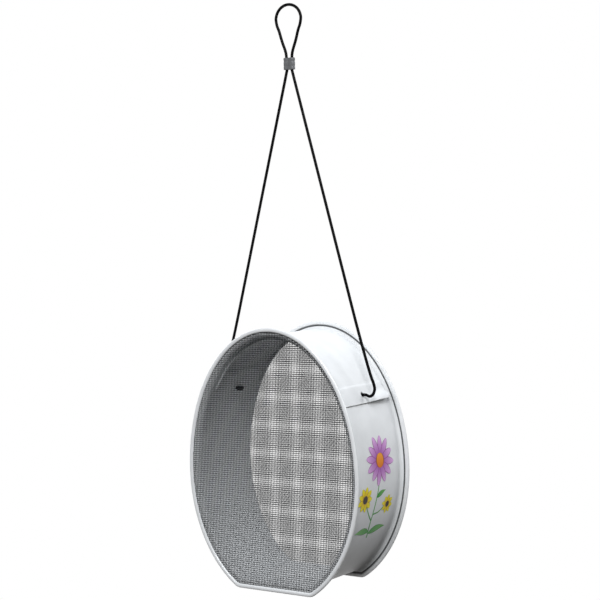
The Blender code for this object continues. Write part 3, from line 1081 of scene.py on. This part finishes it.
right_turns = lid_turns()
LID_TURNS = [-turn for turn in reversed(right_turns[1:])] + right_turns
lid = rolled_grid("lid_sheet", len(LID_TURNS), LID_ROWS, lid_place)
weld(lid, 0.000001)
thicken(lid, SHEET)
apply_all(lid)
cut(lid, cross_rod(CABLE_RADIUS + TAB_HOLE_GAP))
finish_piece(lid, sheet_material, SHEET_EDGE)
print("lid:", len(lid.data.polygons), "faces")

# %% [markdown]
# ## Woven wire
# The screens are galvanised steel wire in a plain square weave: each wire goes over one
# crossing wire and under the next. Weathered zinc is a dull dark grey with patches about 14 mm
# wide, and hardly shines.

# %% Material: galvanised wire


def galvanised_wire():
    material, tree, shader = new_material("galvanised_woven_wire", {"Specular IOR Level": 0.12})
    place = node(tree, "TexCoord")
    patches = node(
        tree, "TexNoise", {"Scale": 70.0, "Detail": 4.0}, {"Vector": (place, "Object")},
    )
    tone = node(tree, "ValToRGB", links={"Fac": (patches, "Fac")})
    tone.color_ramp.elements[0].position = 0.3
    tone.color_ramp.elements[0].color = paint("#26282A")
    tone.color_ramp.elements[1].position = 0.7
    tone.color_ramp.elements[1].color = paint("#36383A")
    rough = node(tree, "MapRange", {"To Min": 0.38, "To Max": 0.55}, {"Value": (patches, "Fac")})
    feed(tree, shader, {"Base Color": (tone, 0), "Roughness": (rough, 0)})
    return material


wire_material = galvanised_wire()
print("made", wire_material.name)

# %% [markdown]
# ## Screens
# A screen has about two hundred wires and ten thousand crossings, too many for operators, so its
# mesh is computed. Every wire is a square rod with one ring of corners at each crossing, moved
# to the front or to the back in turn, and it ends under the rim. Rows are 2.12 mm apart and
# columns 1.95 mm. As on a loom, the upright warp wires bend more, round the weft wires. The
# rear screen's weave is slightly wider and shifted, as two cut pieces of cloth never line up.

# %% One wire
ROW_PITCH = 0.002117
COLUMN_PITCH = 0.00195
WEFT_RADIUS = 0.00026
WARP_RADIUS = 0.00025
WEFT_WAVE = 0.00008
WARP_WAVE = 0.0003
SCREEN_MIDDLE = 0.0486
WIRE_END_RISE = 0.0074
SHORTEST_WIRE = 0.004
WIRES_EACH_WAY = 80


def span(axis, value):
    """Where a wire across the oval enters and leaves the outline of all wires' ends."""
    a = WIRE_ENDS
    b = np.roll(a, -1, axis=0)
    crossing = (a[:, axis] > value) != (b[:, axis] > value)
    if crossing.sum() < 2:
        return None
    a, b = a[crossing], b[crossing]
    share = (value - a[:, axis]) / (b[:, axis] - a[:, axis])
    other = 1 - axis
    ends = a[:, other] + share * (b[:, other] - a[:, other])
    return ends.min(), ends.max()


def wire_rod(line, across, radius):
    """Corners and faces of a four-sided rod along a line of points."""
    sides = np.zeros((4, 3))
    sides[:, across] = (radius, 0, -radius, 0)
    sides[:, 1] = (0, radius, 0, -radius)
    corners = (line[:, None, :] + sides[None]).reshape(-1, 3)
    count = len(line)
    faces = []
    for i in range(count - 1):
        for j in range(4):
            k = (j + 1) % 4
            faces.append((4 * i + j, 4 * i + k, 4 * i + 4 + k, 4 * i + 4 + j))
    faces.append((3, 2, 1, 0))
    faces.append((4 * count - 4, 4 * count - 3, 4 * count - 2, 4 * count - 1))
    return corners, faces


wire_ring = [on_oval(station, WIRE_END_RISE, 0) for station in STATIONS]
WIRE_ENDS = np.array([(p.x, p.z - WIDEST_Z) for p in wire_ring])
print("the middle row reaches to", round(float(span(1, 0.0)[1]), 4), "m from the middle")

# %% Screens
REAR_COLUMN_PITCH = COLUMN_PITCH * 1.0019
REAR_ROW_SHIFT = 0.00066


def woven_wires(side, column_pitch, row_shift):
    """Corners and faces of all wires: the upright warp first, then the weft."""
    corners, faces, total = [], [], 0
    for axis, pitch, other_pitch, shift, other_shift, swing, radius in (
        (0, column_pitch, ROW_PITCH, 0.0, row_shift, WARP_WAVE, WARP_RADIUS),
        (1, ROW_PITCH, column_pitch, row_shift, 0.0, -WEFT_WAVE, WEFT_RADIUS),
    ):
        along, across = (2, 0) if axis == 0 else (0, 2)
        for number in range(-WIRES_EACH_WAY, WIRES_EACH_WAY + 1):
            fixed = number * pitch + shift
            ends = span(axis, fixed)
            if ends is None or ends[1] - ends[0] < SHORTEST_WIRE:
                continue
            first = math.ceil((ends[0] - other_shift) / other_pitch)
            last = math.floor((ends[1] - other_shift) / other_pitch)
            steps = np.arange(first, last + 1)
            crossings = steps * other_pitch + other_shift
            wave = np.where((steps + number) % 2 == 0, swing, -swing)
            line = np.zeros((len(steps) + 2, 3))
            line[:, along] = np.concatenate(([ends[0]], crossings, [ends[1]]))
            line[:, across] = fixed
            line[:, 1] = np.concatenate(([0], wave, [0])) + side * SCREEN_MIDDLE
            line[:, 2] += WIDEST_Z
            rod, rod_faces = wire_rod(line, across, radius)
            corners.append(rod)
            faces += [tuple(i + total for i in face) for face in rod_faces]
            total += len(rod)
    return np.concatenate(corners), faces


def add_screen(name, side, column_pitch, row_shift):
    corners, faces = woven_wires(side, column_pitch, row_shift)
    mesh = bpy.data.meshes.new(name)
    mesh.from_pydata(corners.tolist(), [], faces)
    mesh.update()
    screen = bpy.data.objects.new(name, mesh)
    bpy.context.scene.collection.objects.link(screen)
    face_outwards(screen)
    dress(screen, wire_material)
    return screen


front_screen = add_screen("woven_front_screen", -1, COLUMN_PITCH, 0.0)
rear_screen = add_screen("woven_rear_screen", 1, REAR_COLUMN_PITCH, REAR_ROW_SHIFT)
print("screens:", len(front_screen.data.polygons) * 2, "triangles each")

# %% [markdown]
# ## Floor, sky and lamps
# The feeder hangs in front of plain white. The pale floor lies well below it, fades into the
# white and throws no light back. The studio glows high up, a little bluish, and hardly at all
# below, so the crown is bright and the walls turn grey towards the foot. Two soft lamps above
# the front draw the bright line along the rims, and two behind light the sides.

# %% Floor
FLOOR_Z = -1.25
FLOOR_RADIUS = 1.2


def floor_material():
    values = {"Base Color": paint("#F4F4F4"), "Roughness": 0.9}
    material, tree, shader = new_material("matt_white_floor", values)
    place = node(tree, "TexCoord")
    far = node(tree, "VectorMath", links={0: (place, "Object")}, operation="LENGTH")
    fade = node(
        tree, "MapRange", {"From Min": 0.4, "From Max": 1.1}, {"Value": (far, "Value")},
        interpolation_type="SMOOTHSTEP",
    )
    path = node(tree, "LightPath")
    unseen = node(tree, "Math", {0: 1.0}, {1: (path, "Is Camera Ray")}, operation="SUBTRACT")
    away = node(tree, "Math", links={0: (fade, "Result"), 1: (unseen, 0)}, operation="MAXIMUM")
    clear = node(tree, "BsdfTransparent")
    mix = node(tree, "MixShader", links={0: (away, 0), 1: (shader, 0), 2: (clear, 0)})
    feed(tree, tree.nodes["Material Output"], {"Surface": (mix, 0)})
    return material


bpy.ops.object.select_all(action="DESELECT")
bpy.ops.mesh.primitive_circle_add(
    vertices=96, radius=FLOOR_RADIUS, fill_type="NGON", location=(0, 0, FLOOR_Z),
)
floor = bpy.context.object
floor.name = "floor"
dress(floor, floor_material())
print("floor at", FLOOR_Z)

# %% World

# Height, from 0 at the horizon to 1 straight above, and the glow there
SKY_BY_HEIGHT = (
    (0.25, (0.032, 0.03, 0.028, 1)),
    (0.5, (0.5, 0.5, 0.49, 1)),
    (0.75, (1.08, 1.16, 1.25, 1)),
    (1.0, (0.18, 0.2, 0.22, 1)),
)


def studio_world():
    """Plain white where the camera or a reflection sees it, and the glowing sky as the light."""
    world = bpy.data.worlds.new("white_studio")
    bpy.context.scene.world = world
    world.use_nodes = True
    tree = world.node_tree
    tree.nodes.clear()
    path = node(tree, "LightPath")
    mirrored = node(
        tree, "Math", links={0: (path, "Is Camera Ray"), 1: (path, "Is Glossy Ray")},
        operation="MAXIMUM",
    )
    seen = node(
        tree, "Math", links={0: (mirrored, 0), 1: (path, "Is Transmission Ray")},
        operation="MAXIMUM",
    )
    white = node(tree, "Background", {"Color": (1, 1, 1, 1), "Strength": 1.0})
    place = node(tree, "TexCoord")
    height = node(tree, "SeparateXYZ", links={0: (place, "Generated")})
    dome = node(tree, "ValToRGB", links={"Fac": (height, "Z")})
    stops = dome.color_ramp.elements
    stops.remove(stops[1])
    stops[0].position, stops[0].color = SKY_BY_HEIGHT[0]
    for position, glow in SKY_BY_HEIGHT[1:]:
        stops.new(position).color = glow
    light = node(tree, "Background", {"Strength": 1.0}, {"Color": (dome, "Color")})
    mix = node(tree, "MixShader", links={0: (seen, 0), 1: (light, 0), 2: (white, 0)})
    node(tree, "OutputWorld", links={"Surface": (mix, 0)})
    return world


print("world:", studio_world().name)

# %% Lamps
LAMP_TINT = (0.985, 1.0, 1.015)
LAMP_TARGET = Vector((0, 0, -0.45))

# Name, place, width in metres and power in watts
LAMPS = (
    ("upper_right_softbox", (0.9, -1.2, 0.85), 0.5, 16.5),
    ("upper_front_softbox", (0.25, -1.8, 0.8), 0.5, 11),
    ("rear_right_softbox", (1.2, 0.9, 0.6), 1.0, 8.5),
    ("rear_left_softbox", (-1.3, 0.8, 0.1), 1.0, 8),
)

for name, place, size, power in LAMPS:
    bpy.ops.object.light_add(type="AREA", location=place)
    lamp = bpy.context.object
    lamp.name = name
    lamp.data.shape = "DISK"
    lamp.data.size = size
    lamp.data.energy = power
    lamp.data.color = LAMP_TINT
    lamp.rotation_euler = (LAMP_TARGET - Vector(place)).to_track_quat("-Z", "Y").to_euler()
    print(name, power, "W")

# %% [markdown]
# ## Bodies
# Each piece rides on the imported body of the part that it replaces, so that the joints move it.
# The lips and the print have no imported part and ride on the drum.

# %% Riding and replacing
PIECES = (
    (cable, "hanger", "hanging_cable", "cable_coating"),
    (ferrule, "hanger", "ferrule", "ferrule_aluminium"),
    (stop_left, "hanger", "cable_stop_left", "cable_coating"),
    (stop_right, "hanger", "cable_stop_right", "cable_coating"),
    (band, "drum", "drum_band", "white_powder_coat"),
    (front_rim, "drum", "front_rim", "white_powder_coat"),
    (rear_rim, "drum", "rear_rim", "white_powder_coat"),
    (front_screen, "drum", "front_screen", "woven_wire"),
    (rear_screen, "drum", "rear_screen", "woven_wire"),
    (lid, "lid", "lid", "white_powder_coat"),
)
for piece, body, part_name, finish in PIECES:
    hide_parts(part_name)
    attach(piece, body)
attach(lips, "drum")
for film in prints:
    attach(film, "drum")
tuple(CABLE_LINE[0])
[tuple(p) for p in CABLE_LINE]
print("pieces:", len(PIECES) + 1 + len(prints))

# %% Finish
bpy.context.scene.view_settings.view_transform = "Standard"
